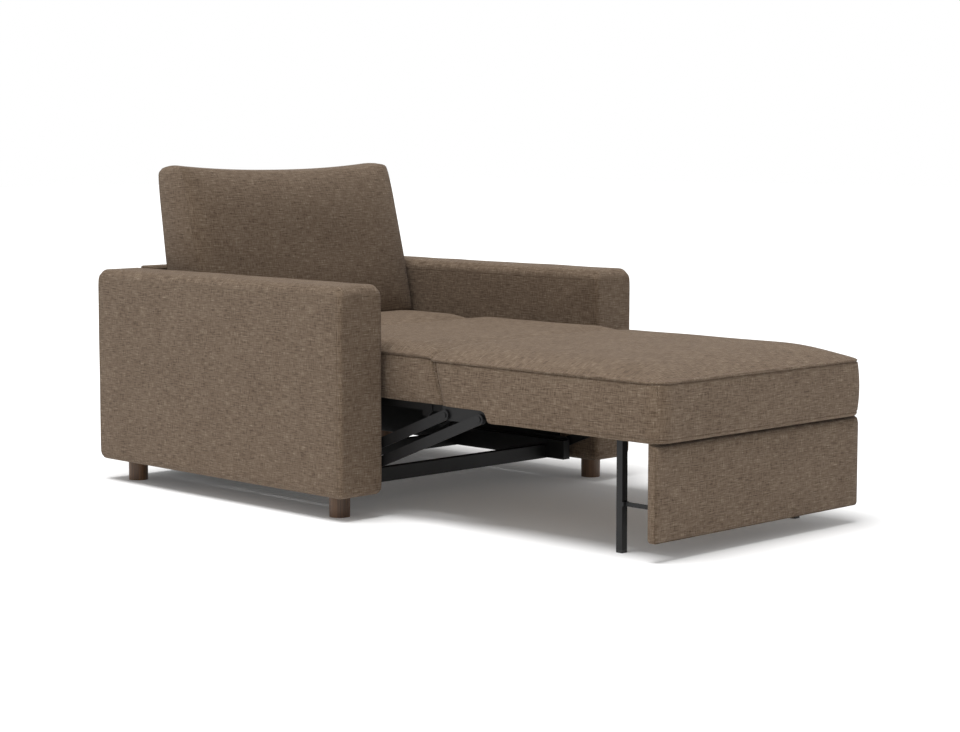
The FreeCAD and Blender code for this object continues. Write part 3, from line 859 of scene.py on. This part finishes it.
def round_ear(place, point, height, thick):
    """Rounds an upper corner of the loose cushion, more at its rear face."""
    radius = EAR_RADIUS + EAR_REAR_GROWTH * point.y / thick
    dx = abs(point.x) - (PILLOW_HALF - radius)
    dz = point.z - (height - radius)
    if dx > 0 and dz > 0:
        new_dx, new_dz = round_corner(dx, dz)
        place.x -= math.copysign(dx - new_dx, point.x)
        place.z -= dz - new_dz


def make_back_cushion():
    """A boxed cushion that leans back, with raised upper corners."""
    low, high = corners("back_cushion")
    half = PILLOW_HALF
    base = low.z + PILLOW_BASE
    height = high.z - base
    thick = PILLOW_REAR_Y - PILLOW_FRONT_Y
    xs = spread(-half, half, PILLOW_EDGE)
    ys = spread(0.0, thick, 0.0, (PILLOW_SEAM, thick - PILLOW_SEAM))
    zs = spread(0.0, height, PILLOW_EDGE)
    points, faces = grid_block(xs, ys, zs)
    shaped = []
    for point in points:
        across = point.x / half
        upwards = 2 * point.z / height - 1
        through = 2 * point.y / thick - 1
        dx = half - abs(point.x)
        dz = min(point.z, height - point.z)
        crown = edge_rise(dx, PILLOW_CROWN_SIDE) * edge_rise(dz, PILLOW_CROWN_END)
        puff = 1 - through * through
        to_seam = min(abs(point.y - PILLOW_SEAM), abs(point.y - thick + PILLOW_SEAM))
        place = Vector((point.x, 0.0, base + point.z))
        near_side = clamp(1 - dx / PILLOW_EDGE, 0, 1)
        drawn = abs(PILLOW_TOP_DRAW - PILLOW_DRAW_CHANGE * (1 - upwards) / 2)
        drawn -= PILLOW_SIDE_PUFF * puff * (1 - upwards ** 4)
        place.x -= math.copysign(near_side, point.x) * drawn
        if dx < TOLERANCE < dz:
            place.x -= math.copysign(groove(to_seam), point.x)
        sag = EAR_HEIGHT * (1 - abs(across) ** EAR_POWER)
        place.z -= sag * (point.z / height) ** 3
        near_top = clamp(1 - (height - point.z) / PILLOW_EDGE, 0, 1)
        place.z += near_top * PILLOW_TOP_PUFF * (puff - 1)
        if near_top > 0 and min(dx, dz) < TOLERANCE:
            place.z -= groove(to_seam)
        y = point.y
        if point.y < TOLERANCE:
            y -= PILLOW_FRONT_CROWN * crown
        elif point.y > thick - TOLERANCE:
            y += PILLOW_REAR_CROWN * crown
        thinner = THIN_TOP * clamp(1 - (height - point.z) / THIN_TOP_REACH, 0, 1) ** 2
        thinner += THIN_BASE * clamp(1 - point.z / THIN_BASE_REACH, 0, 1) ** 2
        thinner += THIN_SIDE * clamp(1 - dx / THIN_SIDE_REACH, 0, 1) ** 2
        y -= through * thinner
        lean = PILLOW_FRONT_LEAN + (PILLOW_REAR_LEAN - PILLOW_FRONT_LEAN) * point.y / thick
        place.y = arm_front + PILLOW_FRONT_Y + y + lean * point.z
        place.y += ripple(point, PILLOW_WAVES) * crown
        round_ear(place, point, height, thick)
        shaped.append(place)
    piece = make_cover("back_cushion_sewn", shaped, faces, "back_cushion", ("back_cushion",))


# Front panel

def make_panel():
    """The hanging front, padded on its face and wrapped round its board."""
    low, high = corners("front_panel_cover")
    high.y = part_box("front_panel_board")[1][1]
    hem = high.z
    high.z += PANEL_RISE
    xs = spread(low.x, high.x, PANEL_RADIUS)
    ys = spread(low.y, high.y, PANEL_RADIUS, (), PANEL_SIDE_GRID)
    zs = spread(low.z, high.z, PANEL_RADIUS, (hem - PANEL_CREASE,))
    points, faces = grid_block(xs, ys, zs)
    shaped = []
    for point in points:
        place = rounded(point, low, high, (PANEL_RADIUS, PANEL_RADIUS, PANEL_RADIUS))
        tucked = clamp((point.z - hem) / PANEL_TUCK_HEIGHT + PANEL_TUCK_START, 0, 1) ** 2
        tucked *= clamp(1 - (point.y - low.y) / PANEL_TUCK_REACH, 0, 1)
        place.y += PANEL_TUCK * tucked
        if point.y < low.y + TOLERANCE:
            dx = min(point.x - low.x, high.x - point.x)
            dz = min(point.z - low.z, high.z - point.z)
            pad = edge_rise(min(dx, dz), PANEL_PAD_REACH)
            place.y += PANEL_PAD * (1 - pad) + ripple(point, PANEL_WAVES) * pad
        shaped.append(place)
    make_cover("front_panel_sewn", shaped, faces, "foot_section",
               ("front_panel_cover", "front_panel_board"))


# Stage, light and camera

def make_stage():
    """A pale floor, which keeps the part's shadow."""
    mesh = bpy.data.meshes.new("floor")
    size = FLOOR_REACH
    mesh.from_pydata([(-size, -size, 0), (size, -size, 0), (size, size, 0), (-size, size, 0)],
                     [], [(0, 1, 2, 3)])
    floor = bpy.data.objects.new("floor", mesh)
    bpy.context.scene.collection.objects.link(floor)
    material, _, shader = new_material("pale floor")
    shader.inputs["Base Color"].default_value = (FLOOR_PALE, FLOOR_PALE, FLOOR_PALE, 1)
    shader.inputs["Roughness"].default_value = 1.0
    shader.inputs["Specular IOR Level"].default_value = 0.0
    shader.inputs["Emission Color"].default_value = (1, 1, 1, 1)
    shader.inputs["Emission Strength"].default_value = FLOOR_GLOW
    mesh.materials.append(material)


def make_world():
    """A white backdrop for what looks at it, and a dimmer sky that lights the part."""
    world = bpy.data.worlds.new("studio")
    bpy.context.scene.world = world
    world.use_nodes = True
    tree = world.node_tree
    tree.nodes.clear()
    output = tree.nodes.new("ShaderNodeOutputWorld")
    mix = tree.nodes.new("ShaderNodeMixShader")
    path = tree.nodes.new("ShaderNodeLightPath")
    seen = math_node(tree, "MAXIMUM", path.outputs["Is Camera Ray"],
                     path.outputs["Is Glossy Ray"])
    tree.links.new(seen, mix.inputs[0])
    for socket, strength in ((1, SKY_STRENGTH), (2, 1.0)):
        sky = tree.nodes.new("ShaderNodeBackground")
        sky.inputs["Color"].default_value = (1, 1, 1, 1)
        sky.inputs["Strength"].default_value = strength
        tree.links.new(sky.outputs[0], mix.inputs[socket])
    tree.links.new(mix.outputs[0], output.inputs[0])


def make_sun():
    """A broad soft light from above and a little from the part's left."""
    light = bpy.data.lights.new("key", "SUN")
    light.energy = SUN_STRENGTH
    light.angle = math.radians(SUN_SOFTNESS)
    lamp = bpy.data.objects.new("key", light)
    lamp.rotation_euler = (-Vector(SUN_FROM)).to_track_quat("-Z", "Y").to_euler()
    bpy.context.scene.collection.objects.link(lamp)


def make_camera():
    """The photograph's view."""
    data = bpy.data.cameras.new("camera")
    data.sensor_width = SENSOR_WIDTH
    data.lens = CAMERA_LENS
    camera = bpy.data.objects.new("camera", data)
    camera.location = (CAMERA_PLACE[0], arm_front + CAMERA_PLACE[1], CAMERA_PLACE[2])
    camera.rotation_euler = Euler((math.radians(90 - CAMERA_PITCH), 0,
                                   -math.radians(CAMERA_YAW)))
    bpy.context.scene.collection.objects.link(camera)
    bpy.context.scene.camera = camera


dress_frame()
for side in (-1, 1):
    make_arm(side)
make_back()
make_foot_cushion()
make_middle_cushion()
make_rear_cushion()
make_back_cushion()
make_panel()
make_stage()
make_world()
make_sun()
make_camera()
bpy.context.scene.view_settings.view_transform = "Standard"
